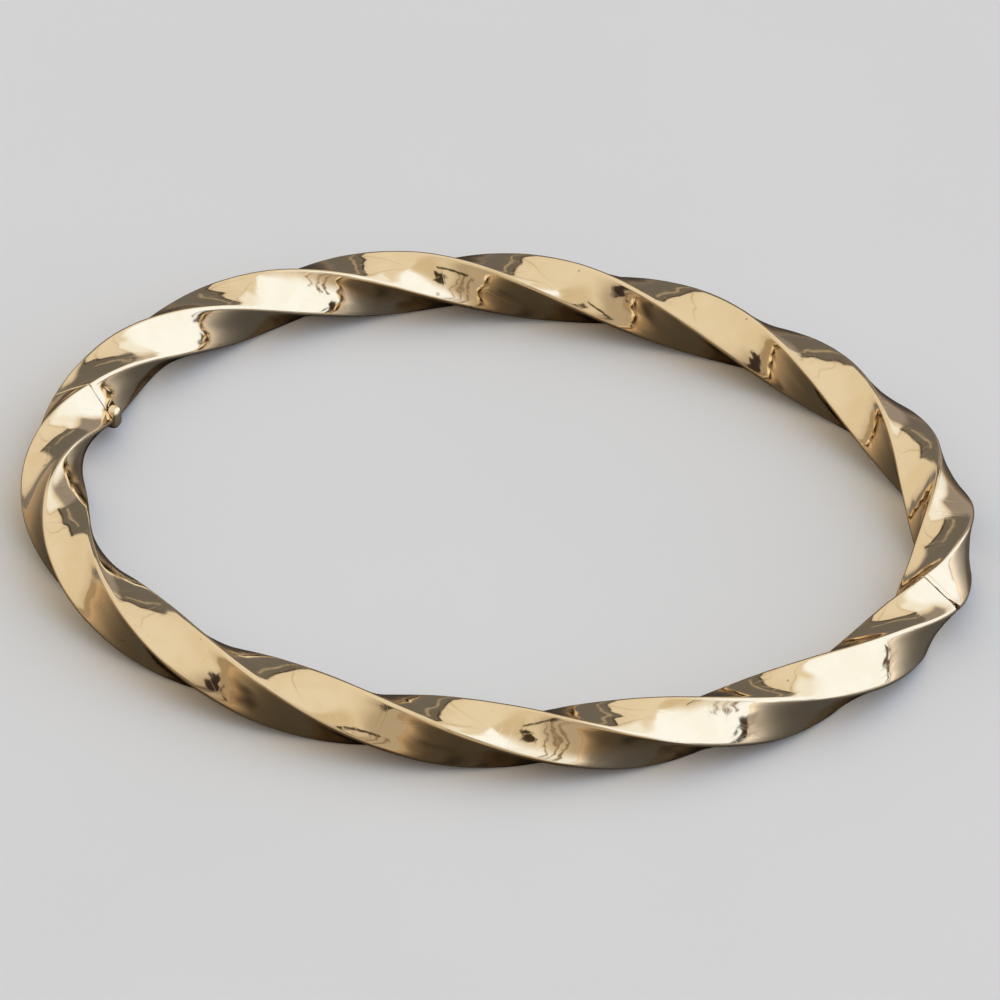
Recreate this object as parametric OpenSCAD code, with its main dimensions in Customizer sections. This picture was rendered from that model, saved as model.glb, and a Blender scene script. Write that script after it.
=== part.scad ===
// Twisted wire bangle: two half-hoops of twisted square wire, hinged at one
// end of the oval (+X) and closed by a tongue in a socket at the other (-X).
// It lies on its side, so the hinge's pin is upright and the wrist goes
// through along Z. All lengths are in millimetres and all angles in degrees.

/* [Hoop] */
// Length of the wire's centre line from the hinge to the clasp
hoop_long = 64; // [54:0.5:74]
// Width of the wire's centre line across the oval
hoop_short = 52.6; // [46:0.2:60]
// How far the oval is egg-shaped, fuller towards the clasp
hoop_egg = 0.2; // [0:0.05:0.5]
// How far the wire is drawn in towards the wrist at the clasp
clasp_tuck = 0.3; // [0:0.05:0.5]

/* [Wire] */
// Width of the square wire across its flats
wire_w = 3.5; // [3.2:0.1:4.2]
// Radius of the polished corners of the wire
corner_r = 0.3; // [0.15:0.05:0.5]
// Quarter turns of twist in each half
quarter_turns = 8; // [4:1:10]
// Angle above level that the outermost corner comes to at the clasp
clasp_angle = 13; // [8:1:18]
// The same angle at the hinge's end, where the twist was eased to let the hinge in
hinge_angle = 1; // [0:0.5:6]
// Unevenness of the hand twist in the front half: long, middle and short wave
front_waves = [-16, -6, -5]; // [-20:0.5:20]
// Unevenness of the hand twist in the back half: long, middle and short wave
back_waves = [-3, 2.5, -6]; // [-20:0.5:20]

/* [Hinge] */
// Distance of the hinge's seam from the oval's long axis, towards the front half
hinge_shift = 0.7; // [0:0.1:1]
// Distance of the pin's axis inside the outermost corner of the wire
pin_inset = 0.75; // [0.7:0.05:0.9]
// Radius of the pin
pin_r = 0.28; // [0.24:0.01:0.32]
// Outer radius of the knuckles
knuckle_r = 0.52; // [0.46:0.01:0.6]
// Height of the middle and of the upper knuckle along the pin
knuckle_h = 0.27; // [0.24:0.01:0.3]
// How far the bangle opens
open_angle = 45; // [30:1:50]

/* [Clasp] */
// Thickness of the tongue across the wire, from the wrist side to the outside
tongue_t = 1.4; // [1:0.1:1.6]
// Height of the tongue
tongue_h = 1.8; // [1.4:0.1:1.9]
// Length of the tongue beyond the seam
tongue_l = 4; // [3:0.1:5]
// Length of the thumb-piece along the wire
thumb_l = 1.1; // [0.8:0.05:1.5]
// Height of the thumb-piece
thumb_h = 1.65; // [1.2:0.05:1.8]
// How far the thumb-piece stands out beyond the wire's inner corner
thumb_out = 0.3; // [0.15:0.05:0.5]
// Radius of the thumb-piece's rounded corner
thumb_r = 0.5; // [0.2:0.05:0.6]

/* [Fits] */
// Gap between the end faces of the two halves, and between one knuckle and the next
seam_gap = 0.06; // [0.04:0.01:0.12]
// Clearance round the tongue, the thumb-piece and the knuckles
slide_gap = 0.1; // [0.06:0.01:0.12]
// Clearance between the pin and its bore, on the radius
pin_gap = 0.03; // [0.02:0.005:0.05]

/* [Hidden] */
gold = [0.83, 0.70, 0.47];

// Rings of the wire's surface in one quarter turn, and degrees made past the seams
twist_steps = 18;
overrun = 4;
// Share of each half over which the twist is eased at the hinge
hinge_ease = 0.045;
// How closely the tuck keeps to the clasp, a power of the cosine
tuck_power = 40;
// Depth to which the tongue is soldered in, and length by which a cut runs past
root = 0.6;
past = 1;
// Metal left over the blind end of the pin's bore and over the rooms of the knuckles
pin_cap = 0.16;
room_cap = 0.1;
fn_small = 48;
fn_arc = 720;

// Distance of a rounded corner from the wire's axis, which is also the axis's height
corner_reach = wire_w / sqrt(2) - corner_r * (sqrt(2) - 1);
axis_z = corner_reach;

// Where the wire's axis crosses the oval's long axis at the hinge and at the clasp
hinge_mid = hoop_point(0).x;
clasp_mid = hoop_point(180).x;

// Level and upright distances of the outer and inner corners at the clasp
clasp_side = corner_reach * cos(clasp_angle);
clasp_rise = corner_reach * sin(clasp_angle);

// Corner angle at the hinge's seam, and slope of the wire's upper face there
seam_angle = back_twist(-asin(hinge_shift / (hoop_short / 2)));
face_angle = seam_angle + 45;

// The pin's axis, and how far round it both halves are filed away to let the bangle open
pin_side = corner_reach * cos(seam_angle) - pin_inset;
hinge_x = hinge_mid + pin_side;
wedge_angle = open_angle / 2 + 1;

// Height of the wire's upper face above its axis, at a level distance outside the axis
function face_z(side) = (wire_w / 2 - side * cos(face_angle)) / sin(face_angle);

// The knuckles stand in one stack under the upper face, and the pin's bore ends above it
room_r = knuckle_r + slide_gap;
stack_top = face_z(pin_side + room_r * cos(wedge_angle)) - room_cap - seam_gap;
bore_top = face_z(pin_side + pin_r + pin_gap) - pin_cap;

// The tongue slides on an arc about the pin's axis, slightly inside the wire's axis
clasp_radius = hinge_x - clasp_mid - 0.12;
arc_degree = clasp_radius * PI / 180;

// Outline of the wire's centre line, t degrees round from the hinge
function hoop_point(t) =
    let (
        bulge = 1 + hoop_egg / (hoop_long / 2) * cos(3 * t),
        tuck = clasp_tuck * (pow(max(0, -cos(t)), tuck_power) - 0.5)
    )
    [hoop_long / 2 * cos(t) * bulge - hoop_egg + tuck, hoop_short / 2 * sin(t) * bulge];

// Level direction out of the hoop at t
function outward(t) =
    let (d = hoop_point(t + 0.05) - hoop_point(t - 0.05))
    [d.y, -d.x] / norm(d);

// Unevenness of the twist at a share x of the way from the hinge to the clasp
function unevenness(x, waves) =
    waves[0] * sin(180 * x) + waves[1] * sin(360 * x) + waves[2] * sin(540 * x);

// Corner angle that the twist starts from, eased from the hinge's to the clasp's
function corner_angle(x) =
    clasp_angle + (hinge_angle - clasp_angle) * exp(-pow(x / hinge_ease, 2));

// Angle of the wire's first corner above the outward direction, in either half
function back_twist(t) =
    let (x = t / 180)
    corner_angle(x) - 90 * quarter_turns * x + unevenness(x, back_waves);
function front_twist(t) =
    let (x = (360 - t) / 180)
    corner_angle(x) + 90 * quarter_turns * x + unevenness(x, front_waves);

// A point at a distance from the wire's axis, in a direction above outward
function polar(r, a) = r * [cos(a), sin(a)];

// Section of the wire: three points round each corner and one in the middle of each flat
function section(turn) = [
    for (a = [turn:90:turn + 270])
        each [
            for (b = [-45, 0, 45])
                polar((wire_w / 2 - corner_r) * sqrt(2), a) + polar(corner_r, a + b),
            polar(wire_w / 2, a + 45)
        ]
];

// One ring of the wire's surface at t
function ring(t, turn) =
    let (c = hoop_point(t), n = outward(t))
    [for (p = section(turn)) [c.x + n.x * p.x, c.y + n.y * p.x, axis_z + p.y]];

// Surface through a list of rings, closed at both ends
module skin(rings) {
    m = len(rings[0]);
    last = len(rings) - 1;
    sides = [
        for (i = [0:last - 1], j = [0:m - 1])
            let (k = (j + 1) % m, a = i * m, b = a + m)
            each [[a + j, a + k, b + j], [a + k, b + k, b + j]]
    ];
    ends = [[for (j = [m - 1:-1:0]) j], [for (j = [0:m - 1]) last * m + j]];
    polyhedron([for (r = rings) each r], concat(sides, ends), convexity = 10);
}

// The blocks beyond both seams, taken off the back half (side 1) or the front half (side -1)
module beyond_seams(side) {
    size = hoop_long + 8 * wire_w;
    height = 2 * axis_z + 2 * past;
    for (end = [[1, -hinge_shift], [-1, 0]])
        translate([end[0] * size / 4, end[1] + side * (seam_gap - size) / 2, axis_z])
            cube([size / 2, size, height], center = true);
}

// An upright cylinder on the pin's axis, from z0 to z1 above the wire's axis
module on_pin(r, z0, z1) {
    translate([hinge_x, -hinge_shift, axis_z + z0])
        cylinder(h = z1 - z0, r = r, $fn = fn_small);
}

// Top and bottom of knuckle number n, counted down from 0. The lowest runs out of the wire.
function knuckle_top(n) = stack_top - n * (knuckle_h + seam_gap);
function knuckle_low(n) = n == 2 ? -axis_z - past : knuckle_top(n) - knuckle_h;

// Knuckle number n of the hinge
module knuckle(n) {
    on_pin(knuckle_r, knuckle_low(n), knuckle_top(n));
}

// Room in one half for knuckle number n of the other half to turn
module knuckle_room(n) {
    on_pin(room_r, knuckle_low(n) - seam_gap, knuckle_top(n) + seam_gap);
}

// Wedge outside the pin, so that the corners pass each other as the bangle opens
module opening_wedge() {
    reach = 2 * pin_inset + past;
    side = reach * tan(wedge_angle);
    translate([hinge_x, -hinge_shift, -past])
        linear_extrude(2 * axis_z + 2 * past)
            polygon([[0, 0], [reach, -side], [reach, side]]);
}

// Bore for the pin, open below and blind above, where the polished face stays whole
module pin_bore() {
    on_pin(pin_r + pin_gap, -axis_z - past, bore_top);
}

// Bar on an arc about the pin's axis, from y0 to y1 past the seam of the clasp
module clasp_bar(t, h, y0, y1) {
    translate([hinge_x, -hinge_shift, axis_z])
        rotate([0, 0, 180 - (y1 + hinge_shift) / arc_degree])
            rotate_extrude(angle = (y1 - y0) / arc_degree, $fn = fn_arc)
                translate([clasp_radius - t / 2, -h / 2]) square([t, h]);
}

// Thumb-piece or its notch: a tab towards the wrist from y0 on, grown by a clearance
module thumb(clear, y0) {
    x0 = clasp_mid + tongue_t / 4;
    x1 = clasp_mid + clasp_side + thumb_out + clear;
    y1 = seam_gap + thumb_l + clear;
    translate([0, 0, axis_z - clasp_rise - thumb_h / 2 - clear])
        linear_extrude(thumb_h + 2 * clear) {
            translate([x0, y0]) square([x1 - x0 - thumb_r, y1 - y0]);
            translate([x0, y0]) square([x1 - x0, y1 - y0 - thumb_r]);
            translate([x1 - thumb_r, y1 - thumb_r]) circle(thumb_r, $fn = fn_small);
        }
}

// Half-hoop on the -Y side, with the upper and lower knuckles, filed flush, and the tongue
module front_half() {
    color(gold)
    difference() {
        union() {
            difference() {
                skin(front_rings);
                beyond_seams(-1);
                opening_wedge();
                knuckle_room(1);
            }
            knuckle(0);
            intersection() {
                knuckle(2);
                skin(front_end);
            }
            clasp_bar(tongue_t, tongue_h, -root, tongue_l);
            thumb(0, seam_gap);
        }
        pin_bore();
    }
}

// Half-hoop on the +Y side, with the middle knuckle and the socket for the tongue
module back_half() {
    socket_t = tongue_t + 2 * slide_gap;
    socket_h = tongue_h + 2 * slide_gap;
    color(gold)
    difference() {
        union() {
            difference() {
                skin(back_rings);
                beyond_seams(1);
                opening_wedge();
                knuckle_room(0);
                knuckle_room(2);
                clasp_bar(socket_t, socket_h, -past, tongue_l + 2 * slide_gap);
                thumb(slide_gap, -past);
            }
            intersection() {
                knuckle(1);
                skin(back_end);
            }
        }
        pin_bore();
    }
}

// Pin through the three knuckles, its lower end filed flush with the wire
module hinge_pin() {
    color(gold)
    intersection() {
        on_pin(pin_r, -axis_z, bore_top - seam_gap);
        skin(front_end);
    }
}

// Rings of the two halves, each made past both of its seams
steps = quarter_turns * twist_steps;
ring_step = (180 + 2 * overrun) / steps;
front_rings = [
    for (i = [0:steps])
        let (t = 180 - overrun + ring_step * i)
        ring(t, front_twist(t))
];
back_rings = [
    for (i = [0:steps])
        let (t = -overrun + ring_step * i)
        ring(t, back_twist(t))
];

// The rings round the hinge alone, which the knuckles and the pin are filed down to
end_steps = 10;
front_end = [for (i = [steps - end_steps:steps]) front_rings[i]];
back_end = [for (i = [0:end_steps]) back_rings[i]];

front_half();
back_half();
hinge_pin();
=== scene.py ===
"""Looks of a hinged bangle of twisted square gold wire, lying on its side in a soft studio.

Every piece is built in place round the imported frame, in metres. The hoop lies level, with its hinge
on +X and its clasp on -X. Each half of the wire is modelled as a straight bar, then twisted and bent
to the oval.
"""

import bisect
import logging
import math
from abc import ABC, abstractmethod
from dataclasses import dataclass, field
from enum import Enum
from functools import cached_property

import bmesh
import bpy
from bmesh.types import BMEdge, BMesh, BMFace, BMVert
from bpy.types import Material, Node, NodeSocket, NodeTree, Object
from mathutils import Matrix, Vector, noise

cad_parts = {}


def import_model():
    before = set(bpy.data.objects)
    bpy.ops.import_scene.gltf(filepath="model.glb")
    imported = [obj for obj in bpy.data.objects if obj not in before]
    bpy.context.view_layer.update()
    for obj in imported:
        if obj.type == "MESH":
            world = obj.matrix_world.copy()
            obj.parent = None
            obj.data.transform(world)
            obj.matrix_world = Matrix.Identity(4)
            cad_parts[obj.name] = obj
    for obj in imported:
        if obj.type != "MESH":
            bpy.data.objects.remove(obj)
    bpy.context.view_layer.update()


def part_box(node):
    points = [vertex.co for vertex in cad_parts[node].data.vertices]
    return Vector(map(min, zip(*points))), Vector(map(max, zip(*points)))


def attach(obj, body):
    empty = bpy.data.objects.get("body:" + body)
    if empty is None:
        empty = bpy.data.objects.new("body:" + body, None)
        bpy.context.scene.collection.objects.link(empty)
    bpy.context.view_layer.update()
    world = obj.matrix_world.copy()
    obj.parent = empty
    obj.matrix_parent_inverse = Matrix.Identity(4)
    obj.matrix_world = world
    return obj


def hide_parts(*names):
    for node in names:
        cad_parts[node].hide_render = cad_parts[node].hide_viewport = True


MM = 0.001
NEAR = 0.01 * MM  # within this, two places count as the same
OVERRUN = MM  # how far a cut runs on past what it cuts
WIRE_MAP = "wire"
LOG = logging.getLogger("bangle")
Triple = tuple[float, float, float]
Span = tuple[float, float]


class Side(Enum):
    """The two halves of the bangle, by the sign of Y that they lie on."""

    FRONT = -1
    BACK = 1


class Slot(Enum):
    """Names for two material slots, which nothing here uses."""

    GOLD = "gold"
    PIN = "pin_gold"


# Node graphs and finishes


@dataclass
class Graph:
    """The nodes of one material or world, with short calls for the nodes that finishes are made of."""

    tree: NodeTree
    mix_colours: tuple[int, int] = (6, 7)
    mix_result: int = 2

    def add(self, kind: str, inputs: dict[str | int, object], **settings: object) -> Node:
        """Adds a node.

        Args:
            kind: The node's type.
            inputs: What goes into its sockets: a value, or the socket that feeds it.
            **settings: The node's own settings.

        Returns:
            The new node.
        """
        node = self.tree.nodes.new(kind)
        for name, value in settings.items():
            setattr(node, name, value)
        for key, value in inputs.items():
            if isinstance(value, NodeSocket):
                self.tree.links.new(value, node.inputs[key])
            else:
                node.inputs[key].default_value = value
        return node

    def math(self, operation: str, *values: NodeSocket | float) -> NodeSocket:
        """The result of a Math node."""
        return self.add("ShaderNodeMath", dict(enumerate(values)), operation=operation).outputs[0]

    def step(
        self, value: NodeSocket, low: float, high: float, start: float = 0, end: float = 1,
    ) -> NodeSocket:
        """A smooth step from start to end as a value goes from low to high."""
        inputs = {"Value": value, "From Min": low, "From Max": high, "To Min": start, "To Max": end}
        return self.add("ShaderNodeMapRange", inputs, interpolation_type="SMOOTHSTEP").outputs[0]

    def blend(
        self, share: NodeSocket, low: NodeSocket | Triple, high: NodeSocket | Triple,
    ) -> NodeSocket:
        """Mixes two colours.

        Args:
            share: How much of the second colour shows, from 0 to 1.
            low: The first colour.
            high: The second colour.

        Returns:
            The mixed colour.
        """
        inputs = {0: share}
        for key, colour in zip(self.mix_colours, (low, high)):
            inputs[key] = colour if isinstance(colour, NodeSocket) else (*colour, 1)
        return self.add("ShaderNodeMix", inputs, data_type="RGBA").outputs[self.mix_result]

    def millimetres(self) -> NodeSocket:
        """The place on the piece, in millimetres."""
        place = self.add("ShaderNodeTexCoord", {}).outputs["Object"]
        return self.stretch(place, (1 / MM, 1 / MM, 1 / MM))

    def stretch(self, place: NodeSocket, scale: Triple, turn: float = 0) -> NodeSocket:
        """Turns and scales a pattern's coordinates.

        Args:
            place: The coordinates.
            scale: How many times each is taken.
            turn: Degrees that they are turned by first, about their third axis.

        Returns:
            The new coordinates.
        """
        inputs = {"Vector": place, "Rotation": (0, 0, math.radians(turn))}
        turned = self.add("ShaderNodeMapping", inputs)
        return self.add("ShaderNodeMapping", {"Vector": turned.outputs[0], "Scale": scale}).outputs[0]

    def noise(self, place: NodeSocket, scale: float, detail: float = 2, warp: float = 0) -> NodeSocket:
        """A cloudy pattern, from 0 to 1."""
        inputs = {"Vector": place, "Scale": scale, "Detail": detail, "Distortion": warp}
        return self.add("ShaderNodeTexNoise", inputs).outputs[0]

    def relief(
        self, height: NodeSocket, depth: float, under: NodeSocket | None = None, sunk: bool = False,
    ) -> NodeSocket:
        """Gives a surface relief.

        Args:
            height: The pattern, from 0 to 1.
            depth: How deep its full range is, in metres.
            under: Other relief that it lies on.
            sunk: Whether it goes into the surface rather than out of it.

        Returns:
            The surface's normal.
        """
        inputs = {"Distance": depth, "Height": height}
        if under is not None:
            inputs["Normal"] = under
        return self.add("ShaderNodeBump", inputs, invert=sunk).outputs[0]

    def metal(self, tone: NodeSocket, roughness: NodeSocket, normal: NodeSocket) -> None:
        """Ends the graph in a metal surface."""
        inputs = {"Base Color": tone, "Metallic": 1.0, "Roughness": roughness, "Normal": normal}
        self.surface(self.add("ShaderNodeBsdfPrincipled", inputs).outputs[0])

    def surface(self, shader: NodeSocket) -> None:
        """Puts the shader out on the surface."""
        self.add("ShaderNodeOutputMaterial", {"Surface": shader})


def new_graph(owner: Material | bpy.types.World) -> Graph:
    """Empties the node graph of a material or world.

    Args:
        owner: The material or world.

    Returns:
        Its graph.
    """
    owner.use_nodes = True
    owner.node_tree.nodes.clear()
    return Graph(owner.node_tree)


@dataclass(frozen=True)
class Finish(ABC):
    """A finish, by its material's name and what its nodes draw."""

    name: str

    @abstractmethod
    def draw(self, graph: Graph) -> None:
        """Draws the finish in its material's empty graph."""

    def build(self) -> Material:
        """Makes the material.

        Returns:
            The material.
        """
        material = bpy.data.materials.new(self.name)
        self.draw(new_graph(material))
        return material


@dataclass(frozen=True)
class PolishedGold(Finish):
    """Pale yellow gold, filed and polished by hand, then worn.

    It has waves, cloudiness, hairlines, nicks and dull corners. A span says between which values of a
    pattern its mark grows from nothing to full, and a haze is what a mark adds to the roughness.
    """

    name: str = "polished_gold"
    light: Triple = (0.93, 0.725, 0.452)
    deep: Triple = (0.90, 0.692, 0.412)
    grime: Triple = (0.50, 0.35, 0.18)
    grime_share: float = 0.7
    roughness: float = 0.055
    cloud_scale: float = 0.45
    cloud_tone_span: Span = (0.35, 0.68)
    cloud_haze_span: Span = (0.4, 0.75)
    cloud_haze: float = 0.05
    wave_depth: float = 0.05 * MM
    wave_stretch: Triple = (0.3, 0.8, 1)
    wave_strength: Span = (0.15, 1)
    wave_patch_scale: float = 0.13
    wave_patch_stretch: Triple = (1, 0.5, 1)
    hairline_depth: float = 0.002 * MM
    hairline_haze: float = 0.10
    hairline_stretch: Triple = (0.16, 9, 1)
    hairline_width: float = 0.07
    hairline_patch_scale: float = 0.32
    hairline_patch_turn: float = 40
    patch_span: Span = (0.45, 0.62)
    nick_depth: float = 0.01 * MM
    nick_density: float = 0.85
    nick_patch_scale: float = 0.6
    nick_patch_span: Span = (0.5, 0.72)
    nick_size: float = 0.15
    nick_softness: float = 0.05
    corner_spacing: float = 2.7489
    corner_span: Span = (0.12, 0.45)
    corner_haze: float = 0.07
    wear_scale: float = 1.7
    wear_span: Span = (0.42, 0.62)
    hairlines: tuple[Span, ...] = ((14, 0.64), (-31, 0.66), (76, 0.665))

    def draw(self, graph: Graph) -> None:
        """Draws the gold with all its marks.

        Args:
            graph: The material's empty graph.
        """
        place = graph.millimetres()
        wire = graph.add("ShaderNodeUVMap", {}, uv_map=WIRE_MAP).outputs[0]
        clouds = graph.noise(place, self.cloud_scale, detail=3, warp=0.4)
        lines = self._hairlines(graph, wire)
        nicks = self._nicks(graph, place)
        corner = self._corners(graph, wire)
        wear = graph.step(graph.noise(place, self.wear_scale, detail=3), *self.wear_span)
        worn = graph.math("MULTIPLY", corner, wear)
        tone = graph.blend(graph.step(clouds, *self.cloud_tone_span), self.deep, self.light)
        tone = graph.blend(graph.math("MULTIPLY", nicks, self.grime_share), tone, self.grime)
        haze = graph.step(clouds, *self.cloud_haze_span)
        rough = graph.math("MULTIPLY_ADD", haze, self.cloud_haze, self.roughness)
        rough = graph.math("MULTIPLY_ADD", lines, self.hairline_haze, rough)
        rough = graph.math("MULTIPLY_ADD", worn, self.corner_haze, rough)
        normal = graph.relief(self._waves(graph, wire), self.wave_depth)
        normal = graph.relief(lines, self.hairline_depth, normal, sunk=True)
        normal = graph.relief(nicks, self.nick_depth, normal, sunk=True)
        graph.metal(tone, rough, normal)

    def _waves(self, graph: Graph, wire: NodeSocket) -> NodeSocket:
        """Draws the shallow grooves that the file left along the wire, faint but for some stretches.

        Args:
            graph: The material's nodes.
            wire: The place on the wire's map.

        Returns:
            Their height, about 0.
        """
        grooves = graph.noise(graph.stretch(wire, self.wave_stretch), 1.0, detail=0, warp=0.5)
        place = graph.stretch(wire, self.wave_patch_stretch)
        patches = graph.noise(place, self.wave_patch_scale, detail=0)
        strength = graph.step(patches, *self.patch_span, *self.wave_strength)
        return graph.math("MULTIPLY", graph.math("SUBTRACT", grooves, 0.5), strength)

    def _hairlines(self, graph: Graph, wire: NodeSocket) -> NodeSocket:
        """Draws long fine scratches in a few directions, sparse enough to leave most polish whole.

        Args:
            graph: The material's nodes.
            wire: The place on the wire's map.

        Returns:
            1 in the scratches and 0 between them.
        """
        found = None
        for turn, sparse in self.hairlines:
            streaks = graph.noise(graph.stretch(wire, self.hairline_stretch, turn), 1.0, detail=1)
            turned = graph.stretch(wire, (1, 1, 1), turn + self.hairline_patch_turn)
            here = graph.step(graph.noise(turned, self.hairline_patch_scale), *self.patch_span)
            line = graph.step(streaks, sparse, sparse + self.hairline_width)
            scratch = graph.math("MULTIPLY", line, here)
            found = scratch if found is None else graph.math("MAXIMUM", found, scratch)
        return found

    def _nicks(self, graph: Graph, place: NodeSocket) -> NodeSocket:
        """Draws small dents and specks, a millimetre or more apart.

        Args:
            graph: The material's nodes.
            place: The place on the piece, in millimetres.

        Returns:
            1 in the dents and 0 between them.
        """
        inputs = {"Vector": place, "Scale": self.nick_density, "Randomness": 1.0}
        cells = graph.add("ShaderNodeTexVoronoi", inputs)
        here = graph.step(graph.noise(place, self.nick_patch_scale, detail=1), *self.nick_patch_span)
        size = graph.math("MULTIPLY", here, self.nick_size)
        inside = graph.math("SUBTRACT", size, cells.outputs["Distance"])
        return graph.step(inside, 0, self.nick_softness)

    def _corners(self, graph: Graph, wire: NodeSocket) -> NodeSocket:
        """Finds the wire's corners, which lie a corner spacing apart in millimetres round the wire.

        Args:
            graph: The material's nodes.
            wire: The place on the wire's map.

        Returns:
            1 on the rounded corners and 0 on the flats.
        """
        round_wire = graph.add("ShaderNodeSeparateXYZ", {0: wire}).outputs[1]
        off = graph.math("PINGPONG", round_wire, self.corner_spacing / 2)
        return graph.step(off, *self.corner_span, 1, 0)


@dataclass(frozen=True)
class FiledGold(Finish):
    """Gold cut and filed but not polished, as inside the socket, the notches and the hinge."""

    name: str = "filed_gold"
    light: Triple = (0.80, 0.60, 0.35)
    deep: Triple = (0.52, 0.37, 0.20)
    grime_scale: float = 1.3
    grime_span: Span = (0.42, 0.66)
    roughness: float = 0.30
    stroke_haze: float = 0.2
    stroke_depth: float = 0.004 * MM
    stroke_stretch: Triple = (14, 14, 0.8)
    stroke_turn: float = 25

    def draw(self, graph: Graph) -> None:
        """Draws the gold with its file strokes and grime.

        Args:
            graph: The material's empty graph.
        """
        place = graph.millimetres()
        along = graph.stretch(place, self.stroke_stretch, self.stroke_turn)
        strokes = graph.noise(along, 1.0, detail=3)
        grime = graph.step(graph.noise(place, self.grime_scale, detail=4), *self.grime_span)
        tone = graph.blend(grime, self.light, self.deep)
        smooth = self.roughness - self.stroke_haze / 2
        rough = graph.math("MULTIPLY_ADD", strokes, self.stroke_haze, smooth)
        graph.metal(tone, rough, graph.relief(strokes, self.stroke_depth))


@dataclass(frozen=True)
class DrawnGold(Finish):
    """Drawn pin wire of the same gold, with fine lines along it and worn bright rings."""

    name: str = "drawn_gold"
    light: Triple = (0.86, 0.67, 0.40)
    deep: Triple = (0.70, 0.51, 0.28)
    roughness: float = 0.20
    line_depth: float = 0.002 * MM
    line_stretch: Triple = (16, 16, 0.5)
    ring_polish: float = 0.08
    ring_span: Span = (0.4, 0.6)
    ring_stretch: Triple = (0.2, 0.2, 5)

    def draw(self, graph: Graph) -> None:
        """Draws the gold with its fine lines and rings.

        Args:
            graph: The material's empty graph.
        """
        place = graph.millimetres()
        lines = graph.noise(graph.stretch(place, self.line_stretch), 1.0)
        rings = graph.step(graph.noise(graph.stretch(place, self.ring_stretch), 1.0), *self.ring_span)
        tone = graph.blend(rings, self.deep, self.light)
        rough = graph.math("MULTIPLY_ADD", rings, -self.ring_polish, self.roughness)
        graph.metal(tone, rough, graph.relief(lines, self.line_depth))


@dataclass(frozen=True)
class PaleFloor(Finish):
    """A pale matt floor. Rays that bounce off the gold see a painted reflection in its place: a
    near-black tone and a painted warm sheen at a glance, which keep the gold's lower faces in shade.
    """

    name: str = "pale_floor"
    tones: tuple[Triple, Triple] = ((0.78, 0.72, 0.62), (0.83, 0.765, 0.66))
    tone_scale: float = 0.03
    roughness: float = 0.9
    painted_reflection_tone: Triple = (0.014, 0.013, 0.012)
    painted_gleam: Triple = (1.0, 0.87, 0.73)
    painted_gleam_roughness: float = 0.22
    painted_gleam_strength: float = 1.5
    refraction: float = 1.55

    def draw(self, graph: Graph) -> None:
        """Draws the floor, and the painted dark reflection with its painted warm sheen that the gold
        shows in the floor's place.

        Args:
            graph: The material's empty graph.
        """
        tone = graph.blend(graph.noise(graph.millimetres(), self.tone_scale, detail=3), *self.tones)
        pale = graph.add("ShaderNodeBsdfPrincipled", {"Base Color": tone, "Roughness": self.roughness})
        # Painted reflection: a near-black floor tone, seen only in the gold, which paints shade onto
        # its lower faces.
        matt = graph.add("ShaderNodeBsdfDiffuse", {"Color": (*self.painted_reflection_tone, 1)})
        # Painted warm sheen, stronger at a glance, seen only in the gold's reflection of the floor.
        inputs = {"Color": (*self.painted_gleam, 1), "Roughness": self.painted_gleam_roughness}
        gloss = graph.add("ShaderNodeBsdfAnisotropic", inputs)
        glance = graph.add("ShaderNodeFresnel", {"IOR": self.refraction}).outputs[0]
        share = graph.math("MULTIPLY", glance, self.painted_gleam_strength)
        deep = graph.add("ShaderNodeMixShader", {0: share, 1: matt.outputs[0], 2: gloss.outputs[0]})
        # Rays that bounce off the gold see the painted reflection; all other rays see the pale floor.
        in_gold = graph.add("ShaderNodeLightPath", {}).outputs["Is Glossy Ray"]
        shader = graph.add("ShaderNodeMixShader", {0: in_gold, 1: pale.outputs[0], 2: deep.outputs[0]})
        graph.surface(shader.outputs[0])


@dataclass(frozen=True)
class Finishes:
    """The materials of the bangle, made once and shared by its pieces."""

    polished: Material
    filed: Material
    drawn: Material

    @classmethod
    def build(cls) -> "Finishes":
        """Makes all of them."""
        return cls(PolishedGold().build(), FiledGold().build(), DrawnGold().build())


# Shared mesh work


def make_object(name: str, mesh: BMesh, finish: Material) -> Object:
    """Turns a finished bmesh into an object at the origin.

    Args:
        name: Name of the object.
        mesh: The bmesh, which is freed.
        finish: Its material.

    Returns:
        The new object, linked to the scene.
    """
    bmesh.ops.recalc_face_normals(mesh, faces=mesh.faces[:])
    sort_by_place(mesh)
    data = bpy.data.meshes.new(name)
    mesh.to_mesh(data)
    mesh.free()
    data.materials.append(finish)
    made = bpy.data.objects.new(name, data)
    bpy.context.scene.collection.objects.link(made)
    shade(made)
    return made


def sort_by_place(mesh: BMesh) -> None:
    """Sorts the parts of a mesh by where they are, so that every run cuts it in the same way.

    Args:
        mesh: The finished bmesh.
    """
    for sequence in (mesh.verts, mesh.edges, mesh.faces):
        sequence.sort(key=place_number)
        sequence.index_update()


def place_number(part: BMVert | BMEdge | BMFace) -> float:
    """A number that tells apart the places of a mesh's vertices, edges or faces."""
    corners = [part] if isinstance(part, BMVert) else part.verts
    return sum(c.co.x + math.e * c.co.y + math.pi * c.co.z for c in corners)


def shade(piece: Object, crisp_from: float = 32) -> None:
    """Shades a piece smooth, but for edges sharper than some degrees."""
    piece.data.shade_smooth()
    piece.data.set_sharp_from_angle(angle=math.radians(crisp_from))


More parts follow.
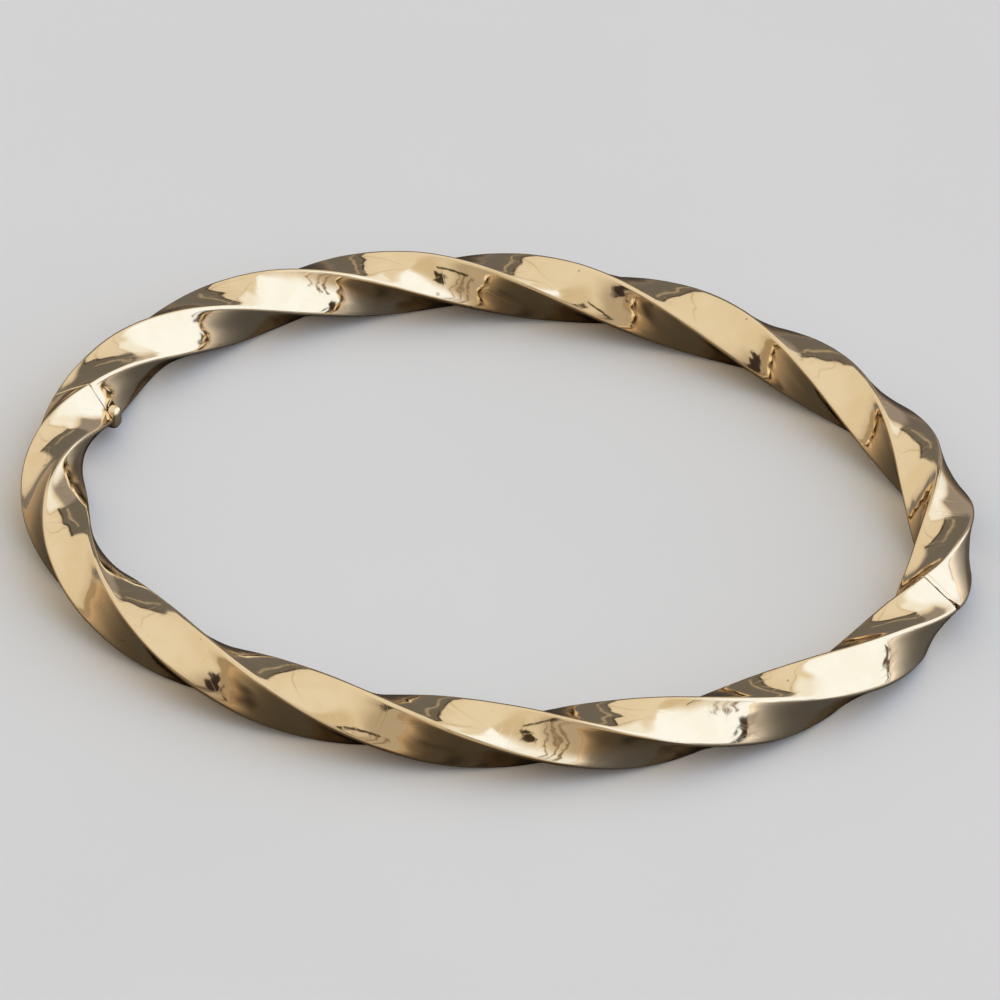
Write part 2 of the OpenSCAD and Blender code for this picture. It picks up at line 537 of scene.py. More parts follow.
def cut_out(piece: Object, tools: list[Object]) -> None:
    """Cuts solids out of a piece and removes them.

    Args:
        piece: What is cut.
        tools: The solids. Each gives its finish to the faces that it cuts.
    """
    for tool in tools:
        step = piece.modifiers.new(tool.name, "BOOLEAN")
        step.operation = "DIFFERENCE"
        step.solver = "EXACT"
        step.material_mode = "TRANSFER"
        step.object = tool
    bpy.context.view_layer.update()
    cut = piece.evaluated_get(bpy.context.evaluated_depsgraph_get())
    piece.data = bpy.data.meshes.new_from_object(cut)
    piece.modifiers.clear()
    for tool in tools:
        bpy.data.objects.remove(tool)
    shade(piece)


def block(low: Vector, high: Vector) -> BMesh:
    """Makes a box.

    Args:
        low: Its lowest corner.
        high: Its highest corner.

    Returns:
        The box, as a new bmesh.
    """
    mesh = bmesh.new()
    bmesh.ops.create_cube(mesh, size=1)
    bmesh.ops.scale(mesh, vec=high - low, verts=mesh.verts[:])
    bmesh.ops.translate(mesh, vec=(low + high) / 2, verts=mesh.verts[:])
    return mesh


def round_off(mesh: BMesh, edges: list[BMEdge], by: float, steps: int) -> None:
    """Rounds edges of a mesh with a fillet of a given width."""
    bmesh.ops.bevel(
        mesh, geom=edges, offset=by, offset_type="OFFSET", segments=steps, profile=0.5,
        affect="EDGES", clamp_overlap=True, material=-1,
    )


def draw_outline(mesh: BMesh, width: float, height: float, corner: float, steps: int) -> None:
    """Draws the outline of a level rectangle with rounded corners, round the origin.

    Args:
        mesh: An empty bmesh, which takes the outline.
        width: The rectangle's size along X.
        height: Its size along Y.
        corner: How far each corner is rounded off.
        steps: How many edges round a corner.
    """
    bmesh.ops.create_grid(mesh, x_segments=1, y_segments=1, size=0.5)
    bmesh.ops.scale(mesh, vec=(width, height, 1), verts=mesh.verts[:])
    bmesh.ops.bevel(
        mesh, geom=mesh.verts[:], offset=corner, offset_type="OFFSET", segments=steps, profile=0.5,
        affect="VERTICES", clamp_overlap=True, material=-1,
    )
    bmesh.ops.delete(mesh, geom=mesh.faces[:], context="FACES_ONLY")


def vertices(geometry: list[object]) -> list[BMVert]:
    """The vertices among what an operator returns."""
    return [g for g in geometry if isinstance(g, BMVert)]


# The wire


@dataclass(frozen=True)
class Hoop:
    """The oval of the wire's centre line. Turns run from 0 at the hinge to pi at the clasp."""

    length: float = 64 * MM
    breadth: float = 52.6 * MM
    egg: float = 0.2 * MM
    tuck: float = 0.3 * MM
    tuck_power: int = 40
    samples: int = 720
    turn_step: float = 0.001

    def point(self, turn: float) -> Vector:
        """Follows the centre line, which is fuller at the hinge and drawn in at the clasp.

        Args:
            turn: The turn.

        Returns:
            The centre line's point there, level with the origin.
        """
        bulge = 1 + self.egg / (self.length / 2) * math.cos(3 * turn)
        tucked = self.tuck * (max(0.0, -math.cos(turn)) ** self.tuck_power - 0.5)
        across = self.length / 2 * math.cos(turn) * bulge - self.egg + tucked
        return Vector((across, self.breadth / 2 * math.sin(turn) * bulge, 0))

    def outward(self, turn: float) -> Vector:
        """The level direction out of the hoop at a turn."""
        step = self.point(turn + self.turn_step) - self.point(turn - self.turn_step)
        return Vector((step.y, -step.x, 0)).normalized()

    @cached_property
    def milestones(self) -> list[float]:
        """Measures along the wire from the hinge.

        Returns:
            The distances of evenly spaced turns.
        """
        reached = [0.0]
        for i in range(self.samples):
            here, there = (self.point(math.pi * (i + k) / self.samples) for k in (0, 1))
            reached.append(reached[-1] + (there - here).length)
        return reached

    def turn_at(self, distance: float) -> float:
        """Finds a place on the wire.

        Args:
            distance: How far along the wire it lies from the hinge.

        Returns:
            Its turn.
        """
        i = min(max(bisect.bisect(self.milestones, distance) - 1, 0), self.samples - 1)
        low, high = self.milestones[i], self.milestones[i + 1]
        return math.pi * (i + (distance - low) / (high - low)) / self.samples


@dataclass(frozen=True)
class Section:
    """The square section of the wire, with its polished corners, as it is turned at the clasp."""

    width: float = 3.5 * MM
    corner: float = 0.3 * MM
    edge_angle: float = 13.0

    @property
    def reach(self) -> float:
        """Distance of a rounded corner from the wire's axis, which is also the axis's height."""
        return self.width / math.sqrt(2) - self.corner * (math.sqrt(2) - 1)

    @property
    def corner_side(self) -> float:
        """Level distance of the outermost corner from the wire's axis at the clasp."""
        return self.reach * math.cos(math.radians(self.edge_angle))

    @property
    def corner_rise(self) -> float:
        """Height of the outermost corner above the wire's axis at the clasp."""
        return self.reach * math.sin(math.radians(self.edge_angle))


@dataclass(frozen=True)
class Twist:
    """The hand twist of one half: steady quarter turns, three waves, and an ease at the hinge."""

    waves: Triple
    quarter_turns: int = 8
    hinge_ease: float = 0.045
    hinge_turn: float = -12.0

    def angle(self, share: float, side: Side) -> float:
        """Works out how far the section has turned.

        Args:
            share: The share of the way from the hinge to the clasp.
            side: The half.

        Returns:
            The angle, in radians.
        """
        uneven = sum(w * math.sin(math.pi * (n + 1) * share) for n, w in enumerate(self.waves))
        uneven += self.hinge_turn * math.exp(-((share / self.hinge_ease) ** 2))
        return math.radians(uneven - side.value * 90 * self.quarter_turns * share)


@dataclass(frozen=True)
class Station:
    """One place along the wire: its centre, its level outward direction, and its section's turn."""

    centre: Vector
    outward: Vector
    turned: float

    def place(self, point: Vector) -> Vector:
        """Takes a point of the straight bar's section to this place on the hoop.

        Args:
            point: The point, of which the height along the bar isn't read.

        Returns:
            Its place on the hoop.
        """
        cos, sin = math.cos(self.turned), math.sin(self.turned)
        out, up = point.x * cos - point.y * sin, point.x * sin + point.y * cos
        return self.centre + out * self.outward + Vector((0, 0, up))


@dataclass(frozen=True)
class WireHalf:
    """One half-hoop of twisted square wire.

    Its ends are steps, each of a length along the wire and a depth below its flats. The waves left by
    hand are given by how wide and how long they are, in millimetres.
    """

    name: str
    side: Side
    twist: Twist
    hinge_end: tuple[Span, ...]
    clasp_end: tuple[Span, ...]
    hoop: Hoop = Hoop()
    section: Section = Section()
    corner_steps: int = 6
    flat_cuts: int = 9
    length_cuts: int = 700
    seam_gap: float = 0.06 * MM
    hinge_shift: float = 0.7 * MM
    ripple_height: float = 0.045 * MM
    ripple_place: float = 0.0
    broad_waves: Span = (1.6, 3.4)
    fine_waves: Span = (0.7, 1.1)
    fine_share: float = 0.15

    def build(self, finish: Material) -> Object:
        """Builds the wire straight, then twists and bends it.

        Args:
            finish: The wire's material.

        Returns:
            The wire, before anything is cut from it.
        """
        bar = bmesh.new()
        self._draw_section(bar)
        self._draw_length(bar)
        self._file_end(bar, -1, self.hinge_end)
        self._file_end(bar, 1, self.clasp_end)
        self._true_rings(bar)
        self._map_surface(bar)
        stations: dict[float, Station] = {}
        for vertex in bar.verts:
            along = vertex.co.z
            if along not in stations:
                stations[along] = self._station(along)
            vertex.co = stations[along].place(self._ripple(vertex.co))
        return make_object(self.name, bar, finish)

    @property
    def hinge_face(self) -> float:
        """Where the half's end face lies at the hinge, along the wire from the oval's long axis."""
        return self.seam_gap / 2 - self.side.value * self.hinge_shift

    @property
    def start(self) -> float:
        """Where the even rings start, along the wire from the oval's long axis."""
        return self.hinge_face + sum(length for length, _ in self.hinge_end)

    @property
    def run(self) -> float:
        """Length of wire that the even rings take up, from the hinge's end steps to the clasp's."""
        ends = sum(length for length, _ in self.hinge_end + self.clasp_end)
        return self.hoop.milestones[-1] - self.seam_gap / 2 - self.hinge_face - ends

    def _draw_section(self, bar: BMesh) -> None:
        """Draws the outline of the section, one corner outermost, where the hinge's end steps begin.

        Args:
            bar: An empty bmesh.
        """
        width, corner = self.section.width, self.section.corner
        draw_outline(bar, width, width, corner, self.corner_steps)
        flats = [e for e in bar.edges if e.calc_length() > corner]
        bmesh.ops.subdivide_edges(bar, edges=flats, cuts=self.flat_cuts)
        tilt = math.radians(45 + self.section.edge_angle)
        turn = Matrix.Rotation(tilt, 3, "Z")
        bmesh.ops.rotate(bar, verts=bar.verts[:], cent=(0, 0, 0), matrix=turn)
        bmesh.ops.translate(bar, verts=bar.verts[:], vec=(0, 0, self.start))

    def _draw_length(self, bar: BMesh) -> None:
        """Draws the section out along the bar, in rings close enough to take the twist.

        Args:
            bar: The outline of the section.
        """
        drawn = bmesh.ops.extrude_edge_only(bar, edges=bar.edges[:])["geom"]
        bmesh.ops.translate(bar, verts=vertices(drawn), vec=(0, 0, self.run))
        lines = [e for e in bar.edges if abs(e.verts[0].co.z - e.verts[1].co.z) > self.run / 2]
        bmesh.ops.subdivide_edges(bar, edges=lines, cuts=self.length_cuts, use_grid_fill=True)

    def _file_end(self, bar: BMesh, end: int, steps: tuple[Span, ...]) -> None:
        """Draws out and closes one end of the bar.

        Args:
            bar: The open bar.
            end: Which end, -1 for the hinge's and 1 for the clasp's.
            steps: The end's steps.
        """
        half = self.section.width / 2
        for length, depth in steps:
            tip = vertices(bmesh.ops.extrude_edge_only(bar, edges=self._rim(bar, end))["geom"])
            bmesh.ops.translate(bar, verts=tip, vec=(0, 0, end * length))
            size = (self.section.width / 2 - depth) / half
            bmesh.ops.scale(bar, verts=tip, vec=(size, size, 1))
            half *= size
        bmesh.ops.holes_fill(bar, edges=self._rim(bar, end), sides=0)

    def _rim(self, bar: BMesh, end: int) -> list[BMEdge]:
        """The open edges at one end of the bar."""
        middle = self.hoop.milestones[-1] / 2
        return [e for e in bar.edges if e.is_boundary and (e.verts[0].co.z - middle) * end > 0]

    def _true_rings(self, bar: BMesh) -> None:
        """Sets each ring exactly where it belongs along the bar, so that every run gives the same wire.

        Args:
            bar: The closed bar, whose rings are a hair off their places.
        """
        spaces = self.length_cuts + 1
        rings = [self.start + self.run * i / spaces for i in range(spaces + 1)]
        for length, _ in self.hinge_end:
            rings.insert(0, rings[0] - length)
        for length, _ in self.clasp_end:
            rings.append(rings[-1] + length)
        for vertex in bar.verts:
            i = min(max(bisect.bisect(rings, vertex.co.z), 1), len(rings) - 1)
            vertex.co.z = min(rings[i - 1:i + 1], key=lambda ring: abs(ring - vertex.co.z))

    def _map_surface(self, bar: BMesh) -> None:
        """Maps the bar in millimetres, along it and round it, with the first corner at 0.

        Args:
            bar: The closed bar.
        """
        layer = bar.loops.layers.uv.new(WIRE_MAP)
        tilt = math.radians(self.section.edge_angle)
        for face in bar.faces:
            centre = face.calc_center_median()
            middle = math.atan2(centre.y, centre.x)
            for loop in face.loops:
                angle = math.atan2(loop.vert.co.y, loop.vert.co.x)
                angle += round((middle - angle) / math.tau) * math.tau
                loop[layer].uv = (loop.vert.co.z / MM, (angle - tilt) * self.section.width / 2 / MM)

    def _ripple(self, point: Vector) -> Vector:
        """Moves a point of the bar by the faint waves that filing and polishing by hand leave.

        Args:
            point: The point.

        Returns:
            Its new place.
        """
        p = point / MM
        (broad_wide, broad_long), (fine_wide, fine_long) = self.broad_waves, self.fine_waves
        shift = self.ripple_place
        broad = noise.noise(Vector((p.x / broad_wide, p.y / broad_wide, p.z / broad_long + shift)))
        fine = noise.noise(Vector((p.x / fine_wide, p.y / fine_wide, p.z / fine_long - shift)))
        radial = Vector((point.x, point.y, 0)).normalized()
        return point + radial * self.ripple_height * (broad + self.fine_share * fine)

    def _station(self, along: float) -> Station:
        """Finds a place on the hoop.

        Args:
            along: How far along the bar it lies.

        Returns:
            The place.
        """
        turn = self.hoop.turn_at(along)
        turned = self.twist.angle(turn / math.pi, self.side)
        turn *= self.side.value
        centre = self.hoop.point(turn) + Vector((0, 0, self.section.reach))
        return Station(centre, self.hoop.outward(turn), turned)


# The hinge


@dataclass(frozen=True)
class Hinge:
    """Three knuckles on an upright pin, counted from the top, and the room left for them."""

    axis: Vector
    pin_radius: float
    pin_top: float
    finishes: Finishes
    knuckle_radius: float = 0.52 * MM
    knuckle_height: float = 0.27 * MM
    knuckle_gap: float = 0.06 * MM
    stack_drop: float = 0.135 * MM
    lowest: int = 2
    play: float = 0.1 * MM
    bore_play: float = 0.03 * MM
    wedge_angle: float = 23.5
    wedge_reach: float = 2.4 * MM
    wedge_height: float = 8 * MM
    face_angle: float = 52.94
    face_slack: float = 0.001 * MM
    rim: float = 0.04 * MM
    rim_steps: int = 3
    sides: int = 72
    hoop: Hoop = Hoop()
    section: Section = Section()

    @classmethod
    def on_frame(cls, finishes: Finishes) -> "Hinge":
        """Takes the pin's place and size from the frame.

        Args:
            finishes: The bangle's materials.

        Returns:
            The hinge.
        """
        low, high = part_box("hinge_pin")
        axis = Vector(((low.x + high.x) / 2, (low.y + high.y) / 2, 0))
        return cls(axis=axis, pin_radius=(high.x - low.x) / 2, pin_top=high.z, finishes=finishes)

    def _span(self, number: int) -> Span:
        """Bottom and top of a knuckle. The lowest runs on below the wire."""
        top = self.pin_top - self.stack_drop - number * (self.knuckle_height + self.knuckle_gap)
        return (-OVERRUN if number == self.lowest else top - self.knuckle_height), top

    def _drum(self, radius: float, low: float, high: float) -> BMesh:
        """Makes an upright cylinder on the pin's axis.

        Args:
            radius: Its radius.
            low: Height of its foot.
            high: Height of its top.

        Returns:
            The cylinder, as a new bmesh.
        """
        drum = bmesh.new()
        place = Matrix.Translation(self.axis + Vector((0, 0, (low + high) / 2)))
        bmesh.ops.create_cone(
            drum, cap_ends=True, segments=self.sides, radius1=radius, radius2=radius,
            depth=high - low, matrix=place,
        )
        return drum

    def _file_flush(self, mesh: BMesh) -> None:
        """Files away what stands out of the wire's lower outer face.

        Args:
            mesh: The closed mesh that is filed, and closed again.
        """
        slope = math.radians(self.face_angle)
        out = Vector((math.sin(slope), 0, -math.cos(slope)))
        middle = self.hoop.point(0) + Vector((0, 0, self.section.reach))
        cut = bmesh.ops.bisect_plane(
            mesh, geom=mesh.verts[:] + mesh.edges[:] + mesh.faces[:], dist=self.face_slack,
            plane_co=middle + out * self.section.width / 2, plane_no=out, clear_outer=True,
        )["geom_cut"]
        rim = [g for g in cut if isinstance(g, BMEdge)]
        bmesh.ops.triangle_fill(mesh, edges=rim, use_beauty=True)

    def _knuckle(self, number: int) -> BMesh:
        """Makes one knuckle, a short tube with softened rims, filed flush with the wire.

        Args:
            number: Which knuckle, counted from the top.

        Returns:
            The knuckle, as a new bmesh.
        """
        inner = self.pin_radius + self.bore_play
        wide = self.knuckle_radius - inner
        low, top = self._span(number)
        tube = bmesh.new()
        draw_outline(tube, wide, top - low, self.rim, self.rim_steps)
        turn = Matrix.Rotation(math.pi / 2, 3, "X")
        bmesh.ops.rotate(tube, verts=tube.verts[:], cent=(0, 0, 0), matrix=turn)
        middle = self.axis + Vector((inner + wide / 2, 0, (low + top) / 2))
        bmesh.ops.translate(tube, verts=tube.verts[:], vec=middle)
        bmesh.ops.spin(
            tube, geom=tube.verts[:] + tube.edges[:], cent=self.axis, axis=(0, 0, 1),
            angle=math.tau, steps=self.sides, use_merge=True, use_duplicate=False,
        )
        self._file_flush(tube)
        return tube

    def knuckles(self, name: str, *numbers: int) -> Object:
        """Makes the knuckles of one half.

        Args:
            name: Name of the piece.
            *numbers: Which knuckles it has, counted from the top.

        Returns:
            The knuckles, as one piece.
        """
        mesh = bmesh.new()
        for number in numbers:
            tube = self._knuckle(number)
            part = bpy.data.meshes.new(name)
            tube.to_mesh(part)
            tube.free()
            mesh.from_mesh(part)
            bpy.data.meshes.remove(part)
        return make_object(name, mesh, self.finishes.filed)

    def rooms(self, *numbers: int) -> list[Object]:
        """Makes what is cut from one half at the hinge.

        Args:
            *numbers: Which of the other half's knuckles it leaves room for.

        Returns:
            The wedge, the rooms and the bore, as solids.
        """
        tools = [self._wedge()]
        for number in numbers:
            low, top = self._span(number)
            low, top = low - self.knuckle_gap, top + self.knuckle_gap
            room = self._drum(self.knuckle_radius + self.play, low, top)
            tools.append(make_object(f"room_{number}", room, self.finishes.filed))
        bore = self._drum(self.pin_radius + self.bore_play, -OVERRUN, self.pin_top + self.knuckle_gap)
        return tools + [make_object("bore", bore, self.finishes.filed)]

    def _wedge(self) -> Object:
        """Makes the wedge filed away outside the pin, so that the corners pass as the bangle opens.

        Returns:
            The wedge, as a solid.
        """
        half = self.wedge_reach * math.tan(math.radians(self.wedge_angle))
        corners = ((0, 0, 0), (self.wedge_reach, -half, 0), (self.wedge_reach, half, 0))
        mesh = bmesh.new()
        foot = self.axis - Vector((0, 0, OVERRUN))
        outline = [mesh.verts.new(foot + Vector(corner)) for corner in corners]
        grown = bmesh.ops.extrude_face_region(mesh, geom=[mesh.faces.new(outline)])["geom"]
        bmesh.ops.translate(mesh, verts=vertices(grown), vec=(0, 0, self.wedge_height))
        return make_object("wedge", mesh, self.finishes.filed)

    def pin(self) -> Object:
        """Makes the pin, its upper end rounded and its lower end filed flush.

        Returns:
            The pin.
        """
        drum = self._drum(self.pin_radius, 0, self.pin_top)
        rims = [e for e in drum.edges if min(v.co.z for v in e.verts) > self.pin_top - NEAR]
        round_off(drum, rims, self.rim, self.rim_steps)
        self._file_flush(drum)
        return make_object("pin", drum, self.finishes.drawn)


# The clasp


@dataclass(frozen=True)
class Clasp:
    """The folded spring tongue of the front half, its thumb-piece, and the back half's socket."""

    finishes: Finishes
    pin_axis: Vector
    hoop: Hoop = Hoop()
    section: Section = Section()
    seam_gap: float = 0.06 * MM
    tongue_thick: float = 1.4 * MM
    tongue_high: float = 1.8 * MM
    tongue_long: float = 4.0 * MM
    bend_cuts: int = 11
    root: float = 0.6 * MM
    inset: float = 0.12 * MM
    fold_round: float = 0.55 * MM
    fold_long: float = 0.7 * MM
    slit: float = 0.16 * MM
    slit_high: float = 4 * MM
    soft_edge: float = 0.05 * MM
    soft_from: float = 50
    play: float = 0.1 * MM
    thumb_long: float = 1.1 * MM
    thumb_high: float = 1.65 * MM
    thumb_out: float = 0.3 * MM
    thumb_soft: float = 0.42 * MM
    round_steps: int = 8

    @property
    def middle(self) -> float:
        """Where the wire's axis crosses the oval's long axis at the clasp."""
        return self.hoop.point(math.pi).x

    def _on_arc(self, mesh: BMesh) -> BMesh:
        """Bends a bar that runs along +Y from the seam to its arc about the hinge's pin.

        Args:
            mesh: The straight bar.

        Returns:
            The same bmesh, bent.
        """
        radius = self.pin_axis.x - self.middle - self.inset
        for vertex in mesh.verts:
            angle = (vertex.co.y - self.pin_axis.y) / radius
            out = radius - vertex.co.x
            vertex.co.x = self.pin_axis.x - out * math.cos(angle)
            vertex.co.y = self.pin_axis.y + out * math.sin(angle)
        return mesh

    def _bar(self, thick: float, high: float, start: float, end: float) -> BMesh:
        """Makes a straight bar, with rings along it to take the bend.

        Args:
            thick: Its size from the wrist's side to the outside.
            high: Its height.
            start: Where it starts, past the seam.
            end: Where it ends, past the seam.

        Returns:
            The bar, as a new bmesh.
        """
        middle = self.section.reach
        low = Vector((-thick / 2, start, middle - high / 2))
        bar = block(low, Vector((thick / 2, end, middle + high / 2)))
        along = [e for e in bar.edges if abs(e.verts[0].co.y - e.verts[1].co.y) > (end - start) / 2]
        bmesh.ops.subdivide_edges(bar, edges=along, cuts=self.bend_cuts, use_grid_fill=True)
        return bar

    def tongue(self) -> Object:
        """Makes the tongue: a strip folded back on itself, with the slit between its two leaves.

        Returns:
            The tongue.
        """
        bar = self._bar(self.tongue_thick, self.tongue_high, -self.root, self.tongue_long)
        tip = self.tongue_long - NEAR
        fold = [e for e in bar.edges if min(v.co.y for v in e.verts) > tip
                and abs(e.verts[0].co.z - e.verts[1].co.z) > self.tongue_high / 2]
        round_off(bar, fold, self.fold_round, self.round_steps)
        tongue = make_object("tongue", self._on_arc(bar), self.finishes.polished)
        gap = self._bar(self.slit, self.slit_high, self.seam_gap, self.tongue_long - self.fold_long)
        cut_out(tongue, [make_object("slit", self._on_arc(gap), self.finishes.filed)])
        edges = tongue.modifiers.new("soft_edges", "BEVEL")
        edges.width = self.soft_edge
        edges.segments = 2
        edges.limit_method = "ANGLE"
        edges.angle_limit = math.radians(self.soft_from)
        return tongue

    def _thumb_block(self, grow: float, start: float, end: float) -> BMesh:
        """Makes the plain block of the thumb-piece or of its notch.

        Args:
            grow: How much larger it is than the thumb-piece, on each side.
            start: Where it starts, past the seam.
            end: Where it ends, past the seam.

        Returns:
            The block, as a new bmesh.
        """
        height = self.section.reach - self.section.corner_rise
        left = self.middle + self.tongue_thick / 4
        right = self.middle + self.section.corner_side + self.thumb_out + grow
        high = self.thumb_high / 2 + grow
        return block(Vector((left, start, height - high)), Vector((right, end, height + high)))

    def thumb_piece(self) -> Object:
        """Makes the thumb-piece, a tab with a well rounded end that stands out towards the wrist.

        Returns:
            The thumb-piece.
        """
        tab = self._thumb_block(0, self.seam_gap, self.seam_gap + self.thumb_long)
        right = max(v.co.x for v in tab.verts)
        rims = [e for e in tab.edges if max(v.co.x for v in e.verts) == right]
        round_off(tab, rims, self.thumb_soft, self.round_steps)
        return make_object("thumb_piece", tab, self.finishes.polished)

    def socket(self) -> list[Object]:
        """Makes what is cut from the back half.

        Returns:
            The socket for the tongue and the notch for the thumb-piece, as solids.
        """
        grow = 2 * self.play
        thick, high = self.tongue_thick + grow, self.tongue_high + grow
        hole = self._bar(thick, high, -OVERRUN, self.tongue_long + grow)
        end = self.seam_gap + self.thumb_long + self.play
        notch = self._thumb_block(self.play, -OVERRUN, end)
        return [
            make_object("socket", self._on_arc(hole), self.finishes.filed),
            make_object("notch", notch, self.finishes.filed),
        ]


# The whole bangle


@dataclass
class Bangle:
    """The two halves with their hinge and clasp."""

    finishes: Finishes
    front: WireHalf = WireHalf(
        name="front_wire", side=Side.FRONT, twist=Twist((-16, -6, -5)),
        hinge_end=((0.04 * MM, 0.04 * MM),), clasp_end=((0.05 * MM, 0.05 * MM),), ripple_place=7.3,
    )
    back: WireHalf = WireHalf(
        name="back_wire", side=Side.BACK, twist=Twist((-3, 2.5, -6)),
        hinge_end=((0.02 * MM, 0.05 * MM), (0.02 * MM, 0), (0.28 * MM, 0), (0.04 * MM, 0.04 * MM)),
        clasp_end=((0.05 * MM, 0.05 * MM),), ripple_place=31.9,
    )
    pieces: list[Object] = field(default_factory=list)

    def build(self) -> None:
        """Builds every piece and gives each to its body."""
        hinge = Hinge.on_frame(self.finishes)
        clasp = Clasp(self.finishes, hinge.axis)
        front, back = (half.build(self.finishes.polished) for half in (self.front, self.back))
        cut_out(front, hinge.rooms(1))
        cut_out(back, hinge.rooms(0, 2) + clasp.socket())
        self._add(front, "front", "front_half")
        self._add(back, "back", "back_half")
        self._add(hinge.knuckles("front_knuckles", 0, 2), "front")
        self._add(hinge.knuckles("back_knuckle", 1), "back")
        self._add(hinge.pin(), "front", "hinge_pin")
        self._add(clasp.tongue(), "front")
        self._add(clasp.thumb_piece(), "front")

    def _add(self, piece: Object, body: str, node: str = "") -> None:
        """Ties a piece to the frame.

        Args:
            piece: The piece.
            body: The body that it rides on.
            node: The CAD node that it replaces, if any.
        """
        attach(piece, body)
        if node:
            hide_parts(node)
        self.pieces.append(piece)
        LOG.info("%s: %d faces, on %s", piece.name, len(piece.data.polygons), body)


# The studio


@dataclass(frozen=True)
class Panel:
    """A light or dark panel far off, by the directions that it fills, in degrees.

    Its edges are soft over some degrees, and a ragged one's edges stray by some.
    """

    colour: Triple
    bearing: float
    half_width: float
    low: float
    high: float
    soft: float
    ragged: float = 0.0

    def share(
        self, graph: Graph, bearing: NodeSocket, height: NodeSocket, sway: list[NodeSocket],
    ) -> NodeSocket:
        """Draws the panel's shape.

        Args:
            graph: The world's nodes.
            bearing: Bearing of the direction that is looked in.
            height: Its height.
            sway: How ragged edges stray, across and up.

        Returns:
            1 inside the panel and 0 outside.
        """
        if self.ragged:
            bearing = graph.math("MULTIPLY_ADD", sway[0], self.ragged, bearing)
            height = graph.math("MULTIPLY_ADD", sway[1], self.ragged, height)
        off = graph.math("WRAP", graph.math("SUBTRACT", bearing, self.bearing), -180, 180)
        off, soft = graph.math("ABSOLUTE", off), self.soft / 2
        wide = graph.step(off, self.half_width - soft, self.half_width + soft, 1, 0)
        above = graph.step(height, self.low - soft, self.low + soft)
        below = graph.step(height, self.high - soft, self.high + soft, 1, 0)
        return graph.math("MULTIPLY", wide, graph.math("MULTIPLY", above, below))


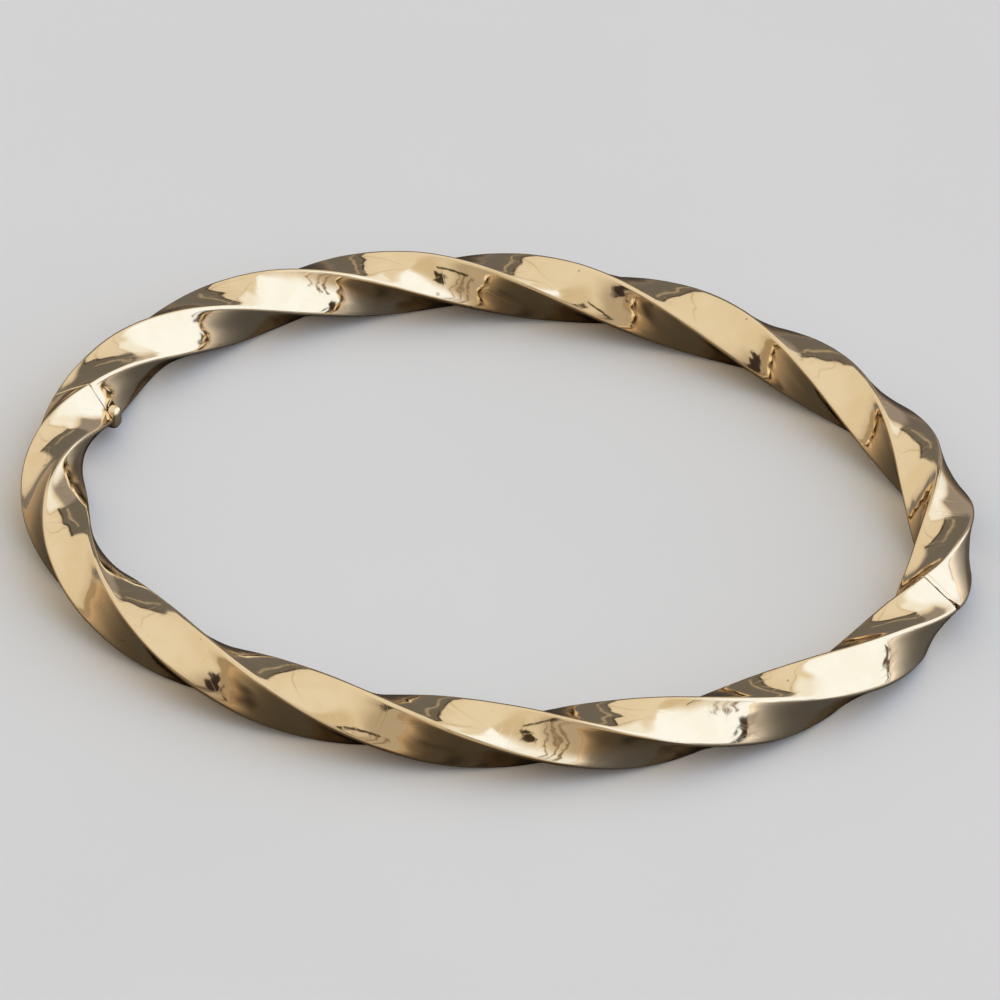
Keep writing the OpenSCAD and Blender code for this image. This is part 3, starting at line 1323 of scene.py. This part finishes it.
@dataclass(frozen=True)
class Studio:
    """A pale floor, the room's light round it, and the camera.

    Bearings run clockwise from straight ahead, and heights up from level, in degrees. A panel covers
    those before it.
    """

    floor_size: float = 6
    camera_bearing: float = 20.753
    camera_height: float = 36.288
    camera_distance: float = 557.24 * MM
    camera_clip: float = 10 * MM
    target: Triple = (-0.066, 0.290, 2.35)
    lens: float = 284.7
    walls: tuple[Triple, Triple, Triple] = ((0.52, 0.47, 0.39), (0.79, 0.76, 0.71), (0.83, 0.83, 0.82))
    wall_rise: Span = (0, 22)
    ceiling_rise: Span = (30, 60)
    backdrop: Triple = (0.80, 0.80, 0.80)
    ragged_scale: float = 7
    panels: tuple[Panel, ...] = (
        # The dim room behind the camera and to its left
        Panel((0.48, 0.44, 0.39), bearing=-155, half_width=35, low=-20, high=36, soft=24),
        Panel((0.69, 0.64, 0.55), bearing=-160, half_width=30, low=48, high=90, soft=30),
        Panel((0.40, 0.33, 0.25), bearing=-104, half_width=38, low=-20, high=9, soft=3, ragged=6),
        # Cool light from high up ahead and from the right
        Panel((0.97, 1.10, 1.33), bearing=36, half_width=17, low=34, high=60, soft=8),
        Panel((1.07, 1.29, 1.76), bearing=102, half_width=58, low=30, high=95, soft=28),
        Panel((1.07, 1.29, 1.76), bearing=102, half_width=60, low=-20, high=50, soft=14),
        # Dark shapes ahead, with lighter bands and a black one over them
        Panel((0.21, 0.21, 0.23), bearing=-36, half_width=28, low=-20, high=9, soft=5),
        Panel((0.33, 0.32, 0.35), bearing=27, half_width=12, low=-20, high=29, soft=5),
        Panel((0.16, 0.16, 0.17), bearing=-4, half_width=21, low=-20, high=36, soft=4),
        Panel((0.42, 0.38, 0.33), bearing=-1, half_width=13, low=25, high=28, soft=2, ragged=6),
        Panel((0.06, 0.05, 0.05), bearing=-4, half_width=22, low=35, high=38, soft=2),
        # Two thin lines that rise from them
        *(Panel((0.63, 0.58, 0.50), bearing=bearing, half_width=0.9, low=38, high=80, soft=1)
          for bearing in (16, -13)),
        # Small dark ragged shapes at the foot of the light, and the dark line under it
        Panel((0.04, 0.03, 0.03), bearing=-121, half_width=10, low=8, high=24, soft=3, ragged=22),
        Panel((0.05, 0.04, 0.03), bearing=136, half_width=10, low=-12, high=9, soft=3, ragged=18),
        Panel((0.13, 0.10, 0.08), bearing=95, half_width=12, low=1, high=5, soft=2, ragged=14),
        Panel((0.16, 0.13, 0.10), bearing=102, half_width=46, low=-4, high=0.6, soft=0.6, ragged=3),
        # Ragged stripes behind the camera
        *(Panel((0.27, 0.22, 0.16), bearing=176, half_width=23, low=low, high=high, soft=2, ragged=18)
          for low, high in ((13, 17), (22, 25), (31, 33))),
        # A thin dark line and a dark patch, high up behind
        Panel((0.05, 0.04, 0.03), bearing=-160, half_width=1.6, low=20, high=56, soft=1, ragged=4),
        Panel((0.05, 0.04, 0.03), bearing=-179, half_width=9, low=47, high=60, soft=3, ragged=22),
    )

    def build(self) -> None:
        """Sets up the floor, the light and the camera."""
        self._floor()
        self._light()
        self._camera()
        bpy.context.scene.view_settings.view_transform = "Standard"

    def _floor(self) -> None:
        """Lays the wide pale floor."""
        mesh = bmesh.new()
        bmesh.ops.create_grid(mesh, x_segments=1, y_segments=1, size=self.floor_size)
        make_object("floor", mesh, PaleFloor().build())

    def _light(self) -> None:
        """Lights the bangle by a world of walls, ceiling and soft panels, behind a plain backdrop."""
        world = bpy.data.worlds.new("studio")
        bpy.context.scene.world = world
        graph = new_graph(world)
        way = graph.add("ShaderNodeTexCoord", {}).outputs["Generated"]
        x, y, z = graph.add("ShaderNodeSeparateXYZ", {0: way}).outputs
        azimuth = graph.math("DEGREES", graph.math("ARCTAN2", y, x))
        bearing = graph.math("SUBTRACT", 90 + self.camera_bearing, azimuth)
        height = graph.math("DEGREES", graph.math("ARCSINE", z))
        low, middle, top = self.walls
        seen = graph.blend(graph.step(height, *self.wall_rise), low, middle)
        seen = graph.blend(graph.step(height, *self.ceiling_rise), seen, top)
        inputs = {"Vector": way, "Scale": self.ragged_scale, "Detail": 2}
        uneven = graph.add("ShaderNodeTexNoise", inputs).outputs[1]
        parts = graph.add("ShaderNodeSeparateXYZ", {0: uneven}).outputs[:2]
        sway = [graph.math("SUBTRACT", part, 0.5) for part in parts]
        for panel in self.panels:
            seen = graph.blend(panel.share(graph, bearing, height, sway), seen, panel.colour)
        direct = graph.add("ShaderNodeLightPath", {}).outputs["Is Camera Ray"]
        seen = graph.blend(direct, seen, self.backdrop)
        light = graph.add("ShaderNodeBackground", {"Color": seen})
        graph.add("ShaderNodeOutputWorld", {0: light.outputs[0]})

    def _camera(self) -> None:
        """Sets up the camera, a long lens from the front right and above."""
        bearing, height = math.radians(self.camera_bearing), math.radians(self.camera_height)
        level = math.cos(height)
        towards = Vector((math.sin(bearing) * level, -math.cos(bearing) * level, math.sin(height)))
        data = bpy.data.cameras.new("camera")
        data.lens = self.lens
        data.clip_start = self.camera_clip
        camera = bpy.data.objects.new("camera", data)
        camera.location = Vector(self.target) * MM + towards * self.camera_distance
        camera.rotation_euler = (-towards).to_track_quat("-Z", "Y").to_euler()
        bpy.context.scene.collection.objects.link(camera)
        bpy.context.scene.camera = camera


def main() -> None:
    """Builds the bangle in its studio."""
    logging.basicConfig(level=logging.INFO, format="%(name)s: %(message)s")
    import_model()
    bangle = Bangle(Finishes.build())
    bangle.build()
    Studio().build()
    LOG.info("%d pieces", len(bangle.pieces))


if __name__ == "__main__":
    main()
